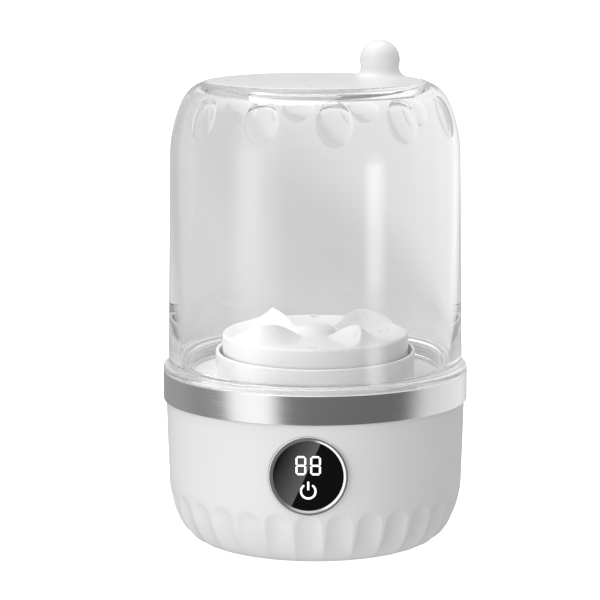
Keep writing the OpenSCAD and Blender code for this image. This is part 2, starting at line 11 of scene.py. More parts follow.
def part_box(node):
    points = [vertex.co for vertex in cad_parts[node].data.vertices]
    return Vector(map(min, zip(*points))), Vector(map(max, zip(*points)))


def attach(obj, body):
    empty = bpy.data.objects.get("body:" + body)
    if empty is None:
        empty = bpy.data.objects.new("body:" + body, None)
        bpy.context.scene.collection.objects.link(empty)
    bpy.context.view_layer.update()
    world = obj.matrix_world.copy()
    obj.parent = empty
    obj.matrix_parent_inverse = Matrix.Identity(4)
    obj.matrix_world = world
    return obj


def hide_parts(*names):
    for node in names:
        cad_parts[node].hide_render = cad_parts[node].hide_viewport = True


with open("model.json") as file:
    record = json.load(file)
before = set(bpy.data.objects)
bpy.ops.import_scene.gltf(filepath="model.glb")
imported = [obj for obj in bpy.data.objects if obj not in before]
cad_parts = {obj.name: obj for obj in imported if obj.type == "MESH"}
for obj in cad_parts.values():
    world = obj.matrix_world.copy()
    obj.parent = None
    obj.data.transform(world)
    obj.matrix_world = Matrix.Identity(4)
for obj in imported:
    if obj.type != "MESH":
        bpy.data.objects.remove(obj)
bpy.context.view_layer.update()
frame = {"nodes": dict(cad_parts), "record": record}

MM = 1000.0  # millimetres in a metre: every outline below is in millimetres
SHELL = 2.6  # thickness of the housing's wall
FIN_RISE = 9  # height of the fins' peaks above the pulsator's rim


# ---- sizes, from the frame ----

def low(node):
    """Height of a CAD node's lowest point."""
    return round(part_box(node)[0].z * MM, 2)


def high(node):
    """Height of a CAD node's highest point."""
    return round(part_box(node)[1].z * MM, 2)


def reach(node):
    """Radius of a round CAD node about the Z axis."""
    return round(max(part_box(node)[1].x, -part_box(node)[0].x) * MM, 1)


band_r = reach("steel_band")
band_low = low("steel_band")
band_top = high("steel_band")
wall_r = reach("base_housing")
foot_z = low("base_housing")
collar_in = wall_r - SHELL
floor_top = low("pedestal")
cup_r = reach("pedestal")
cup_rim = high("pedestal")
lid_top = high("lid_plate")
lid_r = reach("lid_plate")
pulsator_r = reach("pulsator_disc")
pulsator_low = low("pulsator_disc")
fin_peak = high("pulsator_disc")
pulsator_rim = fin_peak - FIN_RISE
barrel_low = low("clear_barrel")
bezel_low, bezel_high = (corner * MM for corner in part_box("display_bezel"))
bezel_r = (bezel_high.x - bezel_low.x) / 2
display_at = Vector((0, bezel_low.y, (bezel_low.z + bezel_high.z) / 2)) / MM


# ---- outlines ----

def arc(centre, radius, start, end, steps):
    """Points on an arc, as (r, z), between two angles in degrees."""
    turn = np.radians(np.linspace(start, end, steps + 1))
    return [(centre[0] + radius * math.cos(a), centre[1] + radius * math.sin(a)) for a in turn]


def rounded(corners, steps=5):
    """Outline through (r, z, fillet) corners, with each corner rounded to its fillet radius."""
    points = []
    for i, corner in enumerate(corners):
        here = Vector(corner[:2])
        if len(corner) < 3 or corner[2] == 0:
            points.append(tuple(here))
            continue
        before = (Vector(corners[i - 1][:2]) - here).normalized()
        after = (Vector(corners[(i + 1) % len(corners)][:2]) - here).normalized()
        half = before.angle(after) / 2
        centre = here + (before + after).normalized() * corner[2] / math.sin(half)
        start = here + before * corner[2] / math.tan(half) - centre
        end = here + after * corner[2] / math.tan(half) - centre
        sweep = start.angle_signed(end)
        for k in range(steps + 1):
            turned = Matrix.Rotation(-sweep * k / steps, 2) @ start
            points.append(tuple(centre + turned))
    return points


# ---- meshes ----

def add_object(name, data):
    """New object in the scene, with a mesh, a light or a camera."""
    piece = bpy.data.objects.new(name, data)
    bpy.context.scene.collection.objects.link(piece)
    return piece


def wrapped(name, rings):
    """Closed mesh through rings of points round the Z axis, the last ring joined to the first."""
    count, turn = rings.shape[:2]
    index = np.arange(count * turn).reshape(count, turn)
    above = np.roll(index, -1, 0)
    quads = np.stack([index, np.roll(index, -1, 1), np.roll(above, -1, 1), above], -1)
    mesh = bpy.data.meshes.new(name)
    mesh.from_pydata((rings.reshape(-1, 3) / MM).tolist(), [], quads.reshape(-1, 4).tolist())
    merge = bmesh.new()
    merge.from_mesh(mesh)
    bmesh.ops.remove_doubles(merge, verts=merge.verts, dist=1e-7)
    bmesh.ops.recalc_face_normals(merge, faces=merge.faces)
    merge.to_mesh(mesh)
    merge.free()
    return add_object(name, mesh)


def ring_points(radii, heights, turn):
    """Rings for wrapped(), from (rows, turn) or (rows, 1) arrays of radius and height."""
    angle = np.arange(turn) * math.tau / turn
    flat = np.ones((1, turn))
    return np.stack([radii * np.cos(angle), radii * np.sin(angle), heights * flat], -1)


def lathe(name, outline, turn=288):
    """Closed outline of (r, z) points turned round the Z axis."""
    profile = np.array(outline)
    return wrapped(name, ring_points(profile[:, :1], profile[:, 1:], turn))


def prism(name, outline, depth):
    """Straight block with an outline in its own XY plane, centred on z = 0."""
    rings = np.array([[(x, y, z) for x, y in outline] for z in (-depth / 2, depth / 2)])
    mesh = bpy.data.meshes.new(name)
    count = len(outline)
    sides = [(i, (i + 1) % count, count + (i + 1) % count, count + i) for i in range(count)]
    ends = [tuple(range(count))[::-1], tuple(range(count, 2 * count))]
    mesh.from_pydata((rings.reshape(-1, 3) / MM).tolist(), [], sides + ends)
    return add_object(name, mesh)


def circle(radius, steps=96):
    """Closed outline of a circle."""
    return arc((0, 0), radius, 0, 360 - 360 / steps, steps - 1)


def moved(piece, x, y, z):
    """Moves a piece's mesh, in millimetres."""
    piece.data.transform(Matrix.Translation(Vector((x, y, z)) / MM))
    return piece


def carve(piece, *cutters):
    """Cuts the cutters' shapes out of a piece and deletes them."""
    for cutter in cutters:
        cut = piece.modifiers.new("carve", "BOOLEAN")
        cut.object = cutter
        cut.operation = "DIFFERENCE"
        cut.solver = "MANIFOLD"
    bpy.context.view_layer.update()
    graph = bpy.context.evaluated_depsgraph_get()
    carved = bpy.data.meshes.new_from_object(piece.evaluated_get(graph))
    piece.modifiers.clear()
    piece.data = carved
    for cutter in cutters:
        bpy.data.objects.remove(cutter)


def dress(piece, body, slot, *replaced, sharp=32):
    """Smooth shading, the slot's material, the body to ride on and the CAD nodes the piece stands for."""
    piece.data.shade_smooth()
    piece.data.set_sharp_from_angle(angle=math.radians(sharp))
    piece.data.materials.clear()
    piece.data.materials.append(finish(slot))
    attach(piece, body)
    if replaced:
        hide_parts(*replaced)
    return piece


def lengths(outline):
    """Distance along an outline from its start to each of its points."""
    return np.concatenate([[0], np.cumsum(np.linalg.norm(np.diff(outline, axis=0), axis=1))])


def dented(outline, turn, count, phase, depth_of):
    """Rings of a round wall with count marks pressed in, the first at phase degrees.

    depth_of gives the depth from the distances across a mark and along the outline.
    """
    slope = np.gradient(outline, axis=0)
    slope /= np.linalg.norm(slope, axis=1)[:, None]
    pitch = math.tau / count
    angle = np.arange(turn) * math.tau / turn
    off = (angle - math.radians(phase) + pitch / 2) % pitch - pitch / 2
    depth = depth_of(outline[:, :1] * off, lengths(outline)[:, None])
    return ring_points(outline[:, :1] - slope[:, 1:] * depth, outline[:, 1:] + slope[:, :1] * depth, turn)


# ---- materials ----

def socket_values(node, **values):
    """Sets a node's input sockets by name, with _ for a space."""
    for name, value in values.items():
        node.inputs[name.replace("_", " ")].default_value = value


def start_material(name):
    """New material, its node tree, its main shader and the place on the piece."""
    material = bpy.data.materials.new(name)
    material.use_nodes = True
    tree = material.node_tree
    shader = tree.nodes["Principled BSDF"]
    place = tree.nodes.new("ShaderNodeTexCoord")
    return material, tree, shader, place.outputs["Object"]


def noise(tree, place, scale, detail=3.0, stretch=(1, 1, 1)):
    """Noise over the piece. scale is in waves per metre, and stretch scales each axis."""
    mapping = tree.nodes.new("ShaderNodeMapping")
    mapping.inputs["Scale"].default_value = stretch
    tree.links.new(place, mapping.inputs["Vector"])
    texture = tree.nodes.new("ShaderNodeTexNoise")
    socket_values(texture, Scale=scale, Detail=detail)
    tree.links.new(mapping.outputs["Vector"], texture.inputs["Vector"])
    return texture.outputs["Fac"]


def spread(tree, value, lowest, highest, start=0.3, end=0.7):
    """Maps a value between start and end, which suit noise, onto a range."""
    node = tree.nodes.new("ShaderNodeMapRange")
    names = ("From Min", "From Max", "To Min", "To Max")
    for name, number in zip(names, (start, end, lowest, highest)):
        node.inputs[name].default_value = number
    tree.links.new(value, node.inputs["Value"])
    return node.outputs["Result"]


def two_tones(tree, value, first, second):
    """Mixes two colours by a value."""
    mix = tree.nodes.new("ShaderNodeMix")
    mix.data_type = "RGBA"
    mix.inputs["A"].default_value = (*first, 1)
    mix.inputs["B"].default_value = (*second, 1)
    tree.links.new(value, mix.inputs["Factor"])
    return mix.outputs["Result"]


def plug(tree, value, socket):
    """Links a socket into an input, or sets the input to a constant."""
    if isinstance(value, (int, float)):
        socket.default_value = value
    else:
        tree.links.new(value, socket)


def blend_by(tree, factor, first, second):
    """Mixes two numbers by a factor."""
    mix = tree.nodes.new("ShaderNodeMix")
    plug(tree, factor, mix.inputs["Factor"])
    plug(tree, first, mix.inputs["A"])
    plug(tree, second, mix.inputs["B"])
    return mix.outputs["Result"]


def maths(tree, operation, first, second):
    """Math node on two numbers."""
    node = tree.nodes.new("ShaderNodeMath")
    node.operation = operation
    plug(tree, first, node.inputs[0])
    plug(tree, second, node.inputs[1])
    return node.outputs["Value"]


def axes(tree, vector):
    """The X, Y and Z outputs of a vector."""
    node = tree.nodes.new("ShaderNodeSeparateXYZ")
    tree.links.new(vector, node.inputs["Vector"])
    return node.outputs


def bump(tree, shader, value, height):
    """Bump of a height in millimetres."""
    node = tree.nodes.new("ShaderNodeBump")
    node.inputs["Strength"].default_value = 1.0
    node.inputs["Distance"].default_value = height / MM
    tree.links.new(value, node.inputs["Height"])
    tree.links.new(node.outputs["Normal"], shader.inputs["Normal"])


def moulded(name, colour, rough, tone=0.02, grain=1400, relief=0.004, **values):
    """Moulded plastic or rubber: faint tone changes, a fine surface grain and uneven gloss."""
    material, tree, shader, place = start_material(name)
    cloudy = spread(tree, noise(tree, place, 25), 0, 1)
    darker = [channel * (1 - tone) for channel in colour]
    tree.links.new(two_tones(tree, cloudy, darker, colour), shader.inputs["Base Color"])
    gloss = spread(tree, noise(tree, place, 90, 5), rough * 0.9, rough * 1.12)
    tree.links.new(gloss, shader.inputs["Roughness"])
    bump(tree, shader, noise(tree, place, grain, 2), relief)
    socket_values(shader, **values)
    return material


def machined(name, colour, rough, lines=2600, relief=0.002, stretch=(0.02, 0.02, 1), shift=0.06, **values):
    """Metal with fine lines from turning, brushing or drawing, run across one axis."""
    material, tree, shader, place = start_material(name)
    streak = noise(tree, place, lines, 2, stretch)
    darker = [channel * (1 - shift) for channel in colour]
    tree.links.new(two_tones(tree, spread(tree, streak, 0, 1), darker, colour), shader.inputs["Base Color"])
    tree.links.new(spread(tree, streak, rough * 0.85, rough * 1.2), shader.inputs["Roughness"])
    bump(tree, shader, streak, relief)
    socket_values(shader, Metallic=1.0, **values)
    return material


def brushed_band(name):
    """Brushed steel strip: lines run round the band, and its gloss stretches across them."""
    material = machined(name, (0.80, 0.80, 0.81), 0.2, lines=3000, relief=0.0012, stretch=(0.01, 0.01, 1),
                        Anisotropic=0.55)
    tree = material.node_tree
    tangent = tree.nodes.new("ShaderNodeTangent")
    tangent.direction_type = "RADIAL"
    tangent.axis = "Z"
    tree.links.new(tangent.outputs["Tangent"], tree.nodes["Principled BSDF"].inputs["Tangent"])
    return material


WALL_BOUNCES = 4.5  # light caught inside the clear wall goes straight on after this many bounces


def clear_shell(name):
    """Clear polycarbonate with a faint change of tint, which lets the studio's light straight through."""
    material, tree, shader, place = start_material(name)
    tint = spread(tree, noise(tree, place, 12), 0, 1)
    colour = two_tones(tree, tint, (0.965, 0.967, 0.97), (0.985, 0.986, 0.988))
    tree.links.new(colour, shader.inputs["Base Color"])
    socket_values(shader, Roughness=0.0, IOR=1.52, Transmission_Weight=1.0)
    light = tree.nodes.new("ShaderNodeLightPath")
    trapped = maths(tree, "GREATER_THAN", light.outputs["Ray Depth"], WALL_BOUNCES)
    through = tree.nodes.new("ShaderNodeBsdfTransparent")
    through.inputs["Color"].default_value = (0.95, 0.95, 0.95, 1)
    mix = tree.nodes.new("ShaderNodeMixShader")
    tree.links.new(maths(tree, "MAXIMUM", light.outputs["Is Shadow Ray"], trapped), mix.inputs["Fac"])
    tree.links.new(shader.outputs["BSDF"], mix.inputs[1])
    tree.links.new(through.outputs["BSDF"], mix.inputs[2])
    tree.links.new(mix.outputs["Shader"], tree.nodes["Material Output"].inputs["Surface"])
    return material


def lit(name):
    """Light-emitting segments: a bright core with a slight unevenness from the diffuser."""
    material, tree, shader, place = start_material(name)
    glow = spread(tree, noise(tree, place, 700, 2), 0.9, 1.0)
    tree.links.new(glow, shader.inputs["Emission Strength"])
    cloudy = spread(tree, noise(tree, place, 300), 0, 1)
    tree.links.new(two_tones(tree, cloudy, (0.9, 0.95, 1.0), (1, 1, 1)), shader.inputs["Emission Color"])
    tree.links.new(two_tones(tree, cloudy, (0.7, 0.7, 0.7), (0.8, 0.8, 0.8)), shader.inputs["Base Color"])
    return material


def circuit_board(name):
    """Green solder mask over copper tracks."""
    material, tree, shader, place = start_material(name)
    tracks = tree.nodes.new("ShaderNodeTexBrick")
    tracks.inputs["Color1"].default_value = (0.015, 0.11, 0.035, 1)
    tracks.inputs["Color2"].default_value = (0.02, 0.14, 0.045, 1)
    tracks.inputs["Mortar"].default_value = (0.05, 0.24, 0.08, 1)
    socket_values(tracks, Scale=220.0, Mortar_Size=0.03)
    tree.links.new(place, tracks.inputs["Vector"])
    tree.links.new(tracks.outputs["Color"], shader.inputs["Base Color"])
    tree.links.new(spread(tree, noise(tree, place, 200), 0.3, 0.45), shader.inputs["Roughness"])
    bump(tree, shader, tracks.outputs["Fac"], 0.03)
    return material


FINISHES = {
    "housing_white": lambda name: moulded(name, (0.83, 0.83, 0.825), 0.34),
    "inner_white": lambda name: moulded(name, (0.84, 0.84, 0.835), 0.3),
    "lid_white": lambda name: moulded(name, (0.85, 0.85, 0.845), 0.3, relief=0.001),
    "cover_grey": lambda name: moulded(name, (0.55, 0.55, 0.55), 0.45, grain=900, relief=0.01),
    "band_steel": brushed_band,
    "bezel_chrome": lambda name: machined(name, (0.86, 0.86, 0.87), 0.16, stretch=(1, 0.02, 1),
                                          relief=0.0006),
    "screw_steel": lambda name: machined(name, (0.66, 0.66, 0.67), 0.3, stretch=(1, 1, 0.1)),
    "shaft_steel": lambda name: machined(name, (0.7, 0.7, 0.71), 0.22, lines=3500),
    "motor_steel": lambda name: machined(name, (0.56, 0.57, 0.58), 0.32, lines=900, stretch=(1, 1, 0.05)),
    "bush_bronze": lambda name: machined(name, (0.62, 0.42, 0.24), 0.35, lines=1800, stretch=(1, 1, 1)),
    "pinion_brass": lambda name: machined(name, (0.75, 0.58, 0.28), 0.28, stretch=(1, 1, 0.1)),
    "clear_plastic": clear_shell,
    "lens_black": lambda name: moulded(name, (0.002, 0.002, 0.002), 0.02, tone=0.3, grain=30, relief=0.002,
                                       Specular_IOR_Level=0.3),
    "lit_white": lit,
    "rubber_grey": lambda name: moulded(name, (0.12, 0.12, 0.12), 0.7, tone=0.2, grain=2500, relief=0.02),
    "rubber_clear": lambda name: moulded(name, (0.62, 0.62, 0.61), 0.45, tone=0.05, grain=600, relief=0.01),
    "board_green": circuit_board,
    "dark_plastic": lambda name: moulded(name, (0.035, 0.035, 0.037), 0.42, tone=0.2),
    "gearbox_grey": lambda name: moulded(name, (0.27, 0.28, 0.29), 0.42, tone=0.06, grain=1000, relief=0.012),
    "gear_ivory": lambda name: moulded(name, (0.72, 0.68, 0.56), 0.38, tone=0.05),
    "magnet_grey": lambda name: moulded(name, (0.09, 0.09, 0.095), 0.6, tone=0.25, grain=1800, relief=0.03),
    "lead_red": lambda name: moulded(name, (0.42, 0.03, 0.02), 0.4, tone=0.15),
}
finished = {}


def finish(slot):
    """The one material of a slot, made when first asked for."""
    if slot not in finished:
        finished[slot] = FINISHES[slot](slot)
    return finished[slot]


# ---- base ----

# The housing's bottom corner is a superellipse that runs from the foot's flat up to the wall
CORNER_POWER = 2.1
FLAT_R = 63.3
CORNER_Z = 42.5
WALL_LEAN = 1.4  # how much narrower the wall is where it meets the corner
MID_LEAN = 0.7  # and at MID_Z
MID_Z = 62
OPENING_R = 59.0
WINDOW_R = 16  # hole behind the display
INLET_Z = 40
INLET_R = 1.9  # radius of the ends of the inlet's slot
INLET_HALF = 3  # from the middle of the slot to the centre of either end
BEZEL_DEEP = 4.0
RIM_DOWN = 1  # from the band's top down to the housing's rim under it
FLUTES = 30
FLUTE_TOP = 34.5
FLUTE_HALF = 7.8
FLUTE_DEEP = 1.6
FLUTE_SOFT = 0.09  # how softly a flute runs into the wall
FLOOR_T = 3
CURB = 1.2  # width of the curb round the wash floor
CURB_H = 0.8
# The gearbox's two halves and its lugs, then the screws of the cup, as (x, y, radius)
FLOOR_OPENINGS = [(0, 0, 33.7), (32, 0, 22.5),
                  (0, 36.5, 5.2), (0, -36.5, 5.2), (-36.5, 0, 5.2), (44, 21.5, 5.2)]
FLOOR_OPENINGS += [(50 * math.cos(a), 50 * math.sin(a), 1.8) for a in np.radians([45, 135, 225, 315])]
CUP_WALL = 2.0
CUP_DEEP = 11  # from the cup's floor down to the wash floor
CUP_FLOOR_T = 3
BOSS_R = 11  # boss round the drive shaft, in the middle of the cup
BOSS_BORE = 8
BOSS_H = 6.5


def corner_line(inset, steps, start=90.0):
    """Outline of the rounded bottom corner, from the foot up to the wall, moved in by inset."""
    turn = np.radians(np.linspace(start, 0, steps))
    across = (wall_r - WALL_LEAN - FLAT_R - inset) * np.cos(turn).clip(0) ** (2 / CORNER_POWER)
    down = (CORNER_Z - foot_z - inset) * np.sin(turn) ** (2 / CORNER_POWER)
    return np.stack([FLAT_R + across, CORNER_Z - down], -1)


def flutes_on(outline):
    """Depth of the flutes round the foot: round-topped, ball-nosed and fading out downwards."""
    top = np.interp(FLUTE_TOP, outline[:, 1], lengths(outline)) - FLUTE_HALF
    ball = (FLUTE_HALF ** 2 + FLUTE_DEEP ** 2) / (2 * FLUTE_DEEP)

    def depth_of(across, along):
        reached = (across ** 2 + (along - top).clip(0) ** 2).clip(0, (0.98 * ball) ** 2)
        depth = np.sqrt(ball ** 2 - reached) - ball + FLUTE_DEEP
        depth = (depth + np.sqrt(depth ** 2 + FLUTE_SOFT ** 2)) / 2
        fade = ((along - 1) / (top * 0.75)).clip(0, 1)
        return np.where(depth < 0.004, 0, depth) * fade * fade * (3 - 2 * fade)

    return depth_of


def at_display(piece):
    """Turns a piece made round +Z so that it faces -Y at the display."""
    piece.data.transform(Matrix.Translation(display_at) @ Matrix.Rotation(math.pi / 2, 4, "X"))
    return piece


def make_housing():
    turn = 1440
    rim = band_top - RIM_DOWN
    wall = [(wall_r - MID_LEAN, MID_Z), (wall_r, band_low), (wall_r, rim)]
    outer = np.concatenate([corner_line(0, 90), wall])
    flutes = dented(outer, turn, FLUTES, -90, flutes_on(outer))
    inner = corner_line(SHELL, 14, 80)[::-1]
    inside = np.concatenate([[(collar_in, rim), (collar_in, band_low)], inner,
                             [(OPENING_R, foot_z + SHELL), (OPENING_R, foot_z)]])
    rings = np.concatenate([flutes, ring_points(inside[:, :1], inside[:, 1:], turn)])
    housing = wrapped("housing", rings)
    recess = moved(prism("recess", circle(bezel_r + 0.1, 128), 20), 0, 0, 10 - BEZEL_DEEP)
    window = prism("window", circle(WINDOW_R, 96), 60)
    slot = arc((-INLET_HALF, 0), INLET_R, 90, 270, 12) + arc((INLET_HALF, 0), INLET_R, -90, 90, 12)
    inlet = prism("inlet", slot, 30)
    inlet.data.transform(Matrix.Rotation(math.pi / 2, 4, "X"))
    carve(housing, at_display(recess), at_display(window), moved(inlet, 0, wall_r, INLET_Z))
    return dress(housing, "base", "housing_white", "base_housing")


def make_band():
    outline = rounded([(wall_r, band_low), (band_r, band_low, 0.45), (band_r, band_top, 0.45),
                       (wall_r, band_top)])
    return dress(lathe("steel_strip", outline, 360), "base", "band_steel", "steel_band")


def make_floor():
    """Wash floor, open over the gearbox and its lugs, with holes for the cup's screws."""
    inner_r = 20
    curb_r = collar_in - CURB
    curb_top = floor_top + CURB_H
    outline = rounded([(inner_r, floor_top - FLOOR_T), (collar_in, floor_top - FLOOR_T),
                       (collar_in, curb_top, 0.3), (curb_r, curb_top, 0.3), (curb_r, floor_top, 0.4),
                       (inner_r, floor_top)])
    floor = lathe("wash_floor", outline)
    for x, y, radius in FLOOR_OPENINGS:
        carve(floor, moved(prism("opening", circle(radius, 48), 20), x, y, floor_top))
    return dress(floor, "base", "inner_white", "tub_floor")


def make_cup():
    """Cup round the pulsator: it flares a little at its foot and has a boss round the drive shaft."""
    inner_r = cup_r - CUP_WALL
    cup_floor = floor_top + CUP_DEEP
    boss_top = cup_floor + BOSS_H
    outline = rounded([(cup_r + 0.8, floor_top), (cup_r, floor_top + 1.2, 0.8), (cup_r, cup_rim, 1.0),
                       (inner_r, cup_rim, 0.6), (inner_r, cup_floor, 1.5), (BOSS_R, cup_floor, 0.6),
                       (BOSS_R, boss_top, 0.4), (BOSS_BORE, boss_top), (BOSS_BORE, cup_floor - CUP_FLOOR_T),
                       (inner_r, cup_floor - CUP_FLOOR_T), (inner_r, floor_top)])
    return dress(lathe("pedestal_cup", outline), "base", "inner_white", "pedestal")


def make_display():
    """Bezel with a chamfer down to the lens; both are made round +Z, with the bezel's face at z = 0."""
    lens_r = reach("display_lens")
    chamfer = 1.4
    bezel = rounded([(lens_r, -BEZEL_DEEP), (bezel_r, -BEZEL_DEEP), (bezel_r, 0, 1.0),
                     (lens_r + chamfer, 0, 0.5), (lens_r, -chamfer / 2)])
    ring = at_display(lathe("chrome_bezel", bezel, 256))
    dress(ring, "base", "bezel_chrome", "display_bezel", sharp=50)
    face, back = -0.5, -2.5
    lens = rounded([(0, back), (lens_r, back), (lens_r, face, 0.12), (0, face)])
    disc = at_display(lathe("dark_lens", lens, 192))
    return dress(disc, "base", "lens_black", "display_lens")


# ---- pulsator ----

FINS = 4
FIN_PHASE = 47.0
FIN_STEEP = 19.0  # width of a fin's steep flank at its peak, in degrees
FIN_GENTLE = 25.0
FIN_BEND = 15.0  # how far a fin's crest turns back towards the rim, in degrees
FIN_START_R = 8
PEAK_R = 38.0
VALLEY_DEEP = 1.4  # the valleys are this far below the rim out to VALLEY_R, and rise over VALLEY_RISE
VALLEY_R = 30
VALLEY_RISE = 22
CAP_R = 8.1
HUB_R = 11.8
HUB_TALL = 4.9
DIMPLE_AT = 49
DIMPLE_PHASE = 2.3
DIMPLE_R = 3.2
DIMPLE_DEEP = 2.6
RIM_ROUND = 2
SKIRT_T = 2.2
DRAIN_R = 0.75
DRAINS = [(33.5, 1.5), (35, -4.5), (38.5, 6), (43.5, 11)]


def soft_max(a, b, blend):
    """The larger of two heights, with a smooth change over between them."""
    return (a + b + np.sqrt((a - b) ** 2 + blend ** 2)) / 2


def hub_height(r):
    """Height of the hub's dome above the rim: broad, with steep sides."""
    return HUB_TALL * np.sqrt(1 - (r / HUB_R).clip(0, 1) ** 2.8) - (r - HUB_R).clip(0, None)


def pulsator_height(r, angle):
    """Height of the pulsator's top: a domed hub, wave-shaped fins and valleys that open onto the rim."""
    pitch = 360 / FINS
    valley = pulsator_rim - VALLEY_DEEP * np.cos(np.pi / 2 * ((r - VALLEY_R) / VALLEY_RISE).clip(0, 1))
    base = soft_max(pulsator_rim + hub_height(r), valley, 0.8)
    off = (np.degrees(angle) - FIN_PHASE + pitch / 2) % pitch - pitch / 2
    past = ((r - PEAK_R + 4) / (pulsator_r - PEAK_R)).clip(0, 1)
    crest = -FIN_BEND * past ** 1.3
    rise = np.sin(np.pi / 2 * ((r - FIN_START_R) / (PEAK_R - FIN_START_R)).clip(0, 1)) ** 1.5
    fall = np.cos(np.pi / 2 * ((r - PEAK_R) / (pulsator_r - 1.2 - PEAK_R)).clip(0, 1)) ** 0.8
    tall = (fin_peak + 0.3 - valley) * rise * fall
    side = off - crest
    width = np.where(side < 0, FIN_STEEP + crest * 0.75, FIN_GENTLE - crest * 0.5)
    across = np.sqrt((side / width) ** 2 + 0.0009) - 0.03
    fin = valley + tall * (1 - across.clip(0, 1)) ** np.where(side < 0, 1.35, 1.6)
    return soft_max(base, fin - 0.05, 0.2)


def make_pulsator():
    """Disc with fins, two dimples and drain holes, open underneath, and the button over its screw."""
    turn = 720
    bore = CAP_R + 0.06
    angle = np.arange(turn) * math.tau / turn
    radii = np.concatenate([[bore], np.linspace(CAP_R + 0.2, pulsator_r - RIM_ROUND, 96)])[:, None]
    heights = pulsator_height(radii, angle[None, :])
    heights[0] -= 0.12
    for turned in (90, 270):
        x, y = (DIMPLE_AT * part(math.radians(turned + DIMPLE_PHASE)) for part in (math.cos, math.sin))
        away = np.hypot(radii * np.cos(angle) - x, radii * np.sin(angle) - y)
        heights -= DIMPLE_DEEP * (1 - (away / DIMPLE_R) ** 2).clip(0, 1) ** 0.5
    heights[-1] = pulsator_rim
    heights[-2] = (heights[-2] + heights[-1]) / 2
    top = ring_points(radii * np.ones((1, turn)), heights, turn)
    edge = arc((pulsator_r - RIM_ROUND, pulsator_rim - RIM_ROUND), RIM_ROUND, 90, 0, 8)[1:]
    # Down the skirt, in under the disc, and round the hub's socket on the drive shaft
    skirt = [(pulsator_r, pulsator_low), (pulsator_r - SKIRT_T, pulsator_low)]
    below = [(pulsator_r - SKIRT_T - 0.2, 4.5), (44, 5), (22, 6.5), (9, 6), (9, 12), (4, 12), (4, 1),
             (bore, 1)]
    under = np.array(edge + skirt + [(r, pulsator_rim - down) for r, down in below])
    rings = np.concatenate([top, ring_points(under[:, :1], under[:, 1:], turn)])
    pulsator = wrapped("pulsator", rings)
    carve(pulsator, *(moved(prism("hole", circle(DRAIN_R, 16), 40), side * x, side * y, pulsator_rim)
                      for side in (1, -1) for x, y in DRAINS))
    dress(pulsator, "pulsator", "inner_white", "pulsator_disc")
    across = np.linspace(CAP_R, 0, 18)
    dome = pulsator_rim + hub_height(across)
    cap = [(0, pulsator_rim + 1.5), (CAP_R, pulsator_rim + 1.5), *zip(across.tolist(), dome.tolist())]
    dress(lathe("hub_button", cap, 128), "pulsator", "inner_white", "hub_cap")


# ---- clear barrel ----

# The shoulder is an arc of a large radius, then one of a small radius up to the lid
SHOULDER_R = 80.0
SHOULDER_TURN = 23.4
SHOULDER_IN = 3.2  # how much narrower the wall is where the shoulder starts
SHOULDER_DOWN = 44.6
NOSE_R = 22.3
NOSE_TURN = 58.7
BARREL_WALL = 3.8
MOUTH_R = 60.0
MOUTH_LEDGE = 3.6  # from the lid's top down to the ledge that it rests on
MOUTH_LOW = 7.3
FLANGE_H = 3.5
FLANGE_OUT = 1.5  # how far the flange reaches past the housing's wall
WALL_IN = 1.5  # how much narrower the barrel is over its flange
FOOT_IN_R = 78
RIBS = 4
RIB_PITCH = 2
RIB_GAP = 0.35  # from a rib to the collar
THUMBS = 12
THUMB_PHASE = 10.4
THUMB_DOWN = 18.6  # from the lid's top down to the middle of a thumb-print
THUMB_HALF = 10.3
THUMB_TALL = 12.8
THUMB_DEEP = 1.0
wall_low_r = wall_r - WALL_IN
shoulder_at = np.array([wall_r - SHOULDER_IN - SHOULDER_R, lid_top - SHOULDER_DOWN])
shoulder_dir = np.array([math.cos(math.radians(SHOULDER_TURN)), math.sin(math.radians(SHOULDER_TURN))])
nose_at = shoulder_at + (SHOULDER_R - NOSE_R) * shoulder_dir


def thumbs_on(outline):
    """Depth of the oval thumb-prints on the shoulder."""
    middle = lengths(outline)[np.abs(outline[:, 1] - lid_top + THUMB_DOWN).argmin()]

    def depth_of(across, along):
        left = 1 - (across / THUMB_HALF) ** 2 - ((along - middle) / THUMB_TALL) ** 2
        return THUMB_DEEP * left.clip(0) ** 0.55

    return depth_of


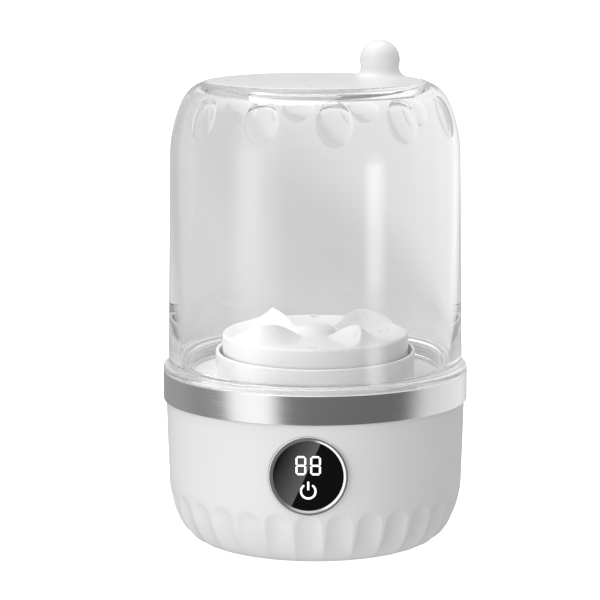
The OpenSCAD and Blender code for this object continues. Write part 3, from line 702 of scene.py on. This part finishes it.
def make_barrel():
    turn = 1080
    seat = band_top + 0.2
    flange_top = seat + FLANGE_H
    flange_r = wall_r + FLANGE_OUT
    foot_out = collar_in - 1.4
    rib_r = collar_in - RIB_GAP
    ribs = []
    for i in range(RIBS):
        z = barrel_low + RIB_PITCH * (i + 1)
        ribs += [(foot_out, z - 0.6), (rib_r, z - 0.2), (rib_r, z + 0.2), (foot_out, z + 0.6)]
    foot = rounded([(FOOT_IN_R, barrel_low, 0.5), (foot_out, barrel_low, 0.5), *ribs, (foot_out, seat),
                    (flange_r, seat, 0.4), (flange_r, flange_top, 1.5), (wall_low_r, flange_top, 0.7),
                    (wall_low_r - 0.4, flange_top + 32)])
    shoulder = (arc(shoulder_at, SHOULDER_R, 0, SHOULDER_TURN, 44)
                + arc(nose_at, NOSE_R, SHOULDER_TURN, NOSE_TURN, 26)[1:])
    outer = np.array(foot + shoulder)
    marks = dented(outer, turn, THUMBS, THUMB_PHASE - 90, thumbs_on(outer))
    rebate_r = lid_r + 0.4
    ledge = lid_top - MOUTH_LEDGE
    step_z = flange_top - 0.4
    inside = rounded([(rebate_r + 0.3, lid_top - 0.25), (rebate_r, lid_top - 0.6), (rebate_r, ledge, 0.3),
                      (MOUTH_R, ledge, 0.5), (MOUTH_R, lid_top - MOUTH_LOW, 0.8),
                      *arc(nose_at, NOSE_R - BARREL_WALL, 51, SHOULDER_TURN, 12),
                      *arc(shoulder_at, SHOULDER_R - BARREL_WALL, SHOULDER_TURN - 3, 0, 12),
                      (wall_low_r - BARREL_WALL - 0.2, step_z, 1.5), (FOOT_IN_R + 0.5, step_z, 0.8)])
    inside = np.array(inside)
    rings = np.concatenate([marks, ring_points(inside[:, :1], inside[:, 1:], turn)])
    return dress(wrapped("barrel", rings), "barrel", "clear_plastic", "clear_barrel", sharp=40)


# ---- lid ----

LID_T = 3.5
SPIGOT = (56.4, 58.4)  # inner and outer radius of the ring under the lid
SPIGOT_H = 4.5
BALL_R = 12.1
BALL_SUNK = 0.19  # how much of the ball's radius is under the lid's top
FLARE_R = 5.4
KNOB_AT = 52.0
KNOB_BEARING = math.radians(44.6)


def make_lid():
    under = lid_top - LID_T
    inner, outer = SPIGOT
    low_z = under - SPIGOT_H
    outline = rounded([(0, under), (inner, under, 0.3), (inner, low_z, 0.4), (outer, low_z, 0.4),
                       (outer, under, 0.3), (lid_r, under, 0.3), (lid_r, lid_top, 0.9), (0, lid_top)])
    return dress(lathe("lid_disc", outline, 360), "lid", "lid_white", "lid_plate")


def make_knob():
    """Ball on the lid with a concave flare round its foot, trimmed at the lid's edge."""
    centre_z = BALL_R * (1 - BALL_SUNK)
    flare_at = math.sqrt((BALL_R + FLARE_R) ** 2 - (centre_z - FLARE_R) ** 2)
    meet = math.degrees(math.atan2(centre_z - FLARE_R, -flare_at))
    outline = [(0, 0), (flare_at - 0.3, 0)] + arc((flare_at, FLARE_R), FLARE_R, -93, meet - 360, 16)
    touch = math.degrees(math.atan2(FLARE_R - centre_z, flare_at))
    outline += arc((0, centre_z), BALL_R, touch, 90, 48)[1:]
    knob = lathe("knob", outline, 160)
    points = np.empty(len(knob.data.vertices) * 3)
    knob.data.vertices.foreach_get("co", points)
    points = points.reshape(-1, 3) * MM
    points[:, 0] += KNOB_AT
    trim_z = centre_z * 0.7
    away = np.hypot(points[:, 0], points[:, 1])
    limit = lid_r - 0.8 + 2.5 * (points[:, 2] / trim_z).clip(0, 1) ** 2
    trim = np.where((away > limit) & (points[:, 2] < trim_z), limit / away, 1)
    points[:, :2] *= trim[:, None]
    knob.data.vertices.foreach_set("co", (points / MM).ravel())
    knob.data.transform(Matrix.Translation((0, 0, lid_top / MM)) @ Matrix.Rotation(KNOB_BEARING, 4, "Z"))
    return dress(knob, "lid", "lid_white", "lid_knob", sharp=50)


def dress_frame():
    """Gives every CAD node that still shows the material of its slot in the record."""
    for entry in frame["record"]["subparts"]:
        node = frame["nodes"][entry["node"]]
        node.data.materials.clear()
        node.data.materials.append(finish(entry["material_slot"]))


# ---- studio ----

CAMERA_TURN = math.radians(2.6)
CAMERA_TILT = 0.156
CAMERA_DISTANCE = 1.61245
CAMERA_HEIGHT = 0.3985
# What shiny surfaces mirror, by bearing round the camera's direction in degrees (left is negative)
STUDIO = [(-180, 0.45), (-160, 0.38), (-120, 0.38), (-100, 0.30), (-74, 0.33), (-64, 1.2), (-35, 1.3),
          (-24, 0.2), (70, 0.15), (90, 0.8), (145, 1.0), (165, 0.6), (180, 0.45)]
CEILING = 1.4
# What clear surfaces show, by the sine of the angle up to the right of straight behind
BACKDROP = [(-0.30, 0.62), (-0.06, 0.70), (-0.01, 0.655), (0.012, 0.67), (0.045, 0.80), (0.26, 1.0)]
KEY_BEARING = -36
KEY_POWER = 1.15
KEY_DARK = 0.02  # level on the side away from the key light
INSIDE_BEARING = -65
INSIDE_LIFT = 0.45
INSIDE_POWER = 2.6
AIM_Z = 0.13
CARD_LEAN = math.radians(24.7)
CARD_SIZE = (0.044, 0.09)
CARD_AT = (-2.3, 1.7, -22)  # in millimetres, to the right, up and across its length, from straight ahead
CARD_DISTANCE = 0.12
CARD_POWER = 0.055
CARD_FADE = [(0, 0), (0.15, 0), (1, 1)]
GLARE_DISTANCE = 1.5
GLARE_FADE = [(0, 0), (0.35, 1), (0.6, 1), (1, 0)]
# Bearing, height, size, power and how each box fades upwards
GLARES = [(-50, 0.6, (0.8, 1.4), 8.5, [(0, 0), (0.12, 0.9), (0.25, 1), (0.5, 0.5), (1, 0.15)]),
          (46, 0.2, (0.55, 0.52), 3.6, [(0, 0), (0.1, 1), (0.4, 1), (0.6, 0.35), (1, 0.1)])]
FLOOR_SIDE = 12.0


def make_camera():
    data = bpy.data.cameras.new("camera")
    data.lens = 164.8
    data.sensor_width = 36
    data.shift_x = -0.02545
    data.clip_end = 100
    camera = add_object("camera", data)
    level = Vector((-math.sin(CAMERA_TURN), math.cos(CAMERA_TURN), 0))
    camera.location = -level * CAMERA_DISTANCE + Vector((0, 0, CAMERA_HEIGHT))
    look = level * math.cos(CAMERA_TILT) - Vector((0, 0, math.sin(CAMERA_TILT)))
    camera.rotation_euler = look.to_track_quat("-Z", "Y").to_euler()
    bpy.context.scene.camera = camera
    bpy.context.view_layer.update()


def bearing_vector(bearing):
    """Level direction on a bearing round the camera's direction."""
    turn = math.radians(bearing - 90) + CAMERA_TURN
    return Vector((math.cos(turn), math.sin(turn), 0))


def by_stops(tree, value, stops):
    """Maps a value through (value, level) stops, which run upwards."""
    ramp = tree.nodes.new("ShaderNodeValToRGB")
    first, last = stops[0][0], stops[-1][0]
    tree.links.new(spread(tree, value, 0, 1, first, last), ramp.inputs["Fac"])
    top = max(level for _, level in stops)
    points = ramp.color_ramp.elements
    points.remove(points[-1])
    for i, (at, level) in enumerate(stops):
        place = (at - first) / (last - first)
        point = points[0] if i == 0 else points.new(place)
        point.position = place
        point.color = (level / top, level / top, level / top, 1)
    return maths(tree, "MULTIPLY", ramp.outputs["Color"], top)


def towards(tree, direction, vector):
    """How far a direction points along a vector, from -1 to 1."""
    dot = tree.nodes.new("ShaderNodeVectorMath")
    dot.operation = "DOT_PRODUCT"
    dot.inputs[1].default_value = vector
    tree.links.new(direction, dot.inputs[0])
    return dot.outputs["Value"]


def backdrop(tree, direction):
    """Grey card straight behind the object, which gets brighter up to the right."""
    look = bpy.context.scene.camera.matrix_world.to_quaternion()
    return by_stops(tree, towards(tree, direction, look @ Vector((0.7, 0.7, 0))), BACKDROP)


def mirrored_studio(tree, direction):
    """The studio as shiny surfaces see it: tall soft boxes, dark between them, and a bright ceiling."""
    turned = tree.nodes.new("ShaderNodeVectorRotate")
    turned.rotation_type = "Z_AXIS"
    turned.inputs["Angle"].default_value = math.pi / 2 - CAMERA_TURN
    tree.links.new(direction, turned.inputs["Vector"])
    x, y, z = axes(tree, turned.outputs["Vector"])
    bearing = maths(tree, "ARCTAN2", y, x)
    mirrored = by_stops(tree, bearing, [(math.radians(at), value) for at, value in STUDIO])
    return blend_by(tree, spread(tree, z, 0, 1, 0.45, 0.8), mirrored, CEILING)


def make_world():
    """Soft light from the left for matt surfaces, a grey card behind clear ones and soft boxes to mirror."""
    world = bpy.data.worlds.new("studio")
    bpy.context.scene.world = world
    world.use_nodes = True
    tree = world.node_tree
    direction = tree.nodes.new("ShaderNodeTexCoord").outputs["Generated"]
    light = tree.nodes.new("ShaderNodeLightPath")
    key = towards(tree, direction, bearing_vector(KEY_BEARING))
    matt = spread(tree, key, KEY_DARK, KEY_POWER, -0.675, 0.825)
    # What lights the matt pieces inside the barrel
    left = (bearing_vector(INSIDE_BEARING) + Vector((0, 0, INSIDE_LIFT))).normalized()
    inside = spread(tree, towards(tree, direction, left), 0.0, INSIDE_POWER, -0.45, 1.0)
    behind = backdrop(tree, direction)
    clear = spread(tree, light.outputs["Diffuse Depth"], 1, 0, 0, 1)
    level = blend_by(tree, light.outputs["Is Glossy Ray"], matt, mirrored_studio(tree, direction))
    level = blend_by(tree, light.outputs["Is Transmission Ray"], level, blend_by(tree, clear, inside, behind))
    # Light that has been through both of the barrel's walls sees the card as well
    deep = spread(tree, light.outputs["Ray Depth"], 0, 1, 4, 5)
    level = blend_by(tree, maths(tree, "MULTIPLY", deep, clear), level, behind)
    level = blend_by(tree, light.outputs["Is Camera Ray"], level, 1.0)
    background = tree.nodes["Background"]
    tree.links.new(level, background.inputs["Strength"])
    background.inputs["Color"].default_value = (1, 1, 1, 1)


def area_light(name, size, power):
    """Rectangular area light."""
    data = bpy.data.lights.new(name, "AREA")
    data.shape = "RECTANGLE"
    data.size, data.size_y = size
    data.energy = power
    return add_object(name, data)


def soft_box(name, bearing, distance, height, size, power):
    """Area light on a bearing round the camera's direction, aimed at the object, which nothing mirrors."""
    box = area_light(name, size, power)
    box.location = bearing_vector(bearing) * distance + Vector((0, 0, height))
    aim = Vector((0, 0, AIM_Z)) - box.location
    box.rotation_euler = aim.to_track_quat("-Z", "Y").to_euler()
    box.visible_glossy = False
    box.visible_transmission = False
    return box


def mirrors_only(light, piece):
    """Lets a light shine on one piece only, and only as a reflection."""
    light.visible_camera = False
    light.visible_diffuse = False
    light.visible_transmission = False
    only = bpy.data.collections.new(light.name + "_on")
    only.objects.link(piece)
    light.light_linking.receiver_collection = only


def fade(light, *across):
    """Changes an area light's strength across its width, then its height, by (place, strength) stops."""
    light.use_nodes = True
    tree = light.node_tree
    place = axes(tree, tree.nodes.new("ShaderNodeNewGeometry").outputs["Parametric"])
    strength = by_stops(tree, place["X"], across[0])
    if len(across) > 1:
        strength = maths(tree, "MULTIPLY", strength, by_stops(tree, place["Y"], across[1]))
    tree.links.new(strength, tree.nodes["Emission"].inputs["Strength"])


def lens_card(lens):
    """Small slanted card low in front, which only the display's lens mirrors; it fades out to the left."""
    middle = Vector((0, display_at.y, display_at.z))
    away = (middle - bpy.context.scene.camera.location) * Vector((1, -1, 1))
    away.normalize()
    up = Vector((0, 0, 1))
    up = (up - away * up.dot(away)).normalized()
    right = up.cross(away)
    along = right * math.sin(CARD_LEAN) + up * math.cos(CARD_LEAN)
    across = along.cross(away)
    card = area_light("lens_card", CARD_SIZE, CARD_POWER)
    fade(card.data, CARD_FADE)
    card.matrix_world = Matrix((across, along, away)).transposed().to_4x4()
    card.location = middle + away * CARD_DISTANCE
    card.location += (right * CARD_AT[0] + up * CARD_AT[1] + across * CARD_AT[2]) / MM
    mirrors_only(card, lens)


def glare(barrel, bearing, height, size, power, upright):
    """Upright soft box with faded sides and ends, which only the clear barrel mirrors."""
    box = soft_box("glare", bearing, GLARE_DISTANCE, height, size, power)
    box.rotation_euler = (-bearing_vector(bearing)).to_track_quat("-Z", "Y").to_euler()
    box.visible_glossy = True
    fade(box.data, GLARE_FADE, upright)
    mirrors_only(box, barrel)


def overhead_light(power):
    """Even soft light from almost straight above."""
    data = bpy.data.lights.new("overhead", "SUN")
    data.energy = power
    data.angle = math.radians(40)
    add_object("overhead", data).rotation_euler = (math.radians(-8), math.radians(-10), 0)


def make_stage():
    """White paper that lights itself a little, so that it stays white to the top of the picture."""
    mesh = bpy.data.meshes.new("floor")
    corners = [(FLOOR_SIDE * x, FLOOR_SIDE * y, 0) for x, y in ((-1, -1), (1, -1), (1, 1), (-1, 1))]
    mesh.from_pydata(corners, [], [(0, 1, 2, 3)])
    floor = add_object("floor", mesh)
    material, tree, shader, place = start_material("paper")
    tone = two_tones(tree, spread(tree, noise(tree, place, 6), 0, 1), (0.90, 0.90, 0.90), (0.92, 0.92, 0.92))
    tree.links.new(tone, shader.inputs["Base Color"])
    tree.links.new(tone, shader.inputs["Emission Color"])
    socket_values(shader, Roughness=0.9, Specular_IOR_Level=0.0, Emission_Strength=0.95)
    mesh.materials.append(material)
    floor.visible_glossy = False
    floor.visible_transmission = False
    floor.visible_diffuse = False


def make_studio(lens, barrel):
    make_camera()
    lens_card(lens)
    for box in GLARES:
        glare(barrel, *box)
    make_world()
    make_stage()
    overhead_light(1.45)
    soft_box("rim", 125, 1.6, 0.6, (0.7, 1.4), 5)
    scene = bpy.context.scene
    scene.view_settings.view_transform = "Standard"
    scene.cycles.transmission_bounces = 16
    scene.cycles.transparent_max_bounces = 24
    scene.cycles.max_bounces = 24


make_housing()
make_band()
make_floor()
make_cup()
lens = make_display()
make_pulsator()
barrel = make_barrel()
make_lid()
make_knob()
dress_frame()
make_studio(lens, barrel)
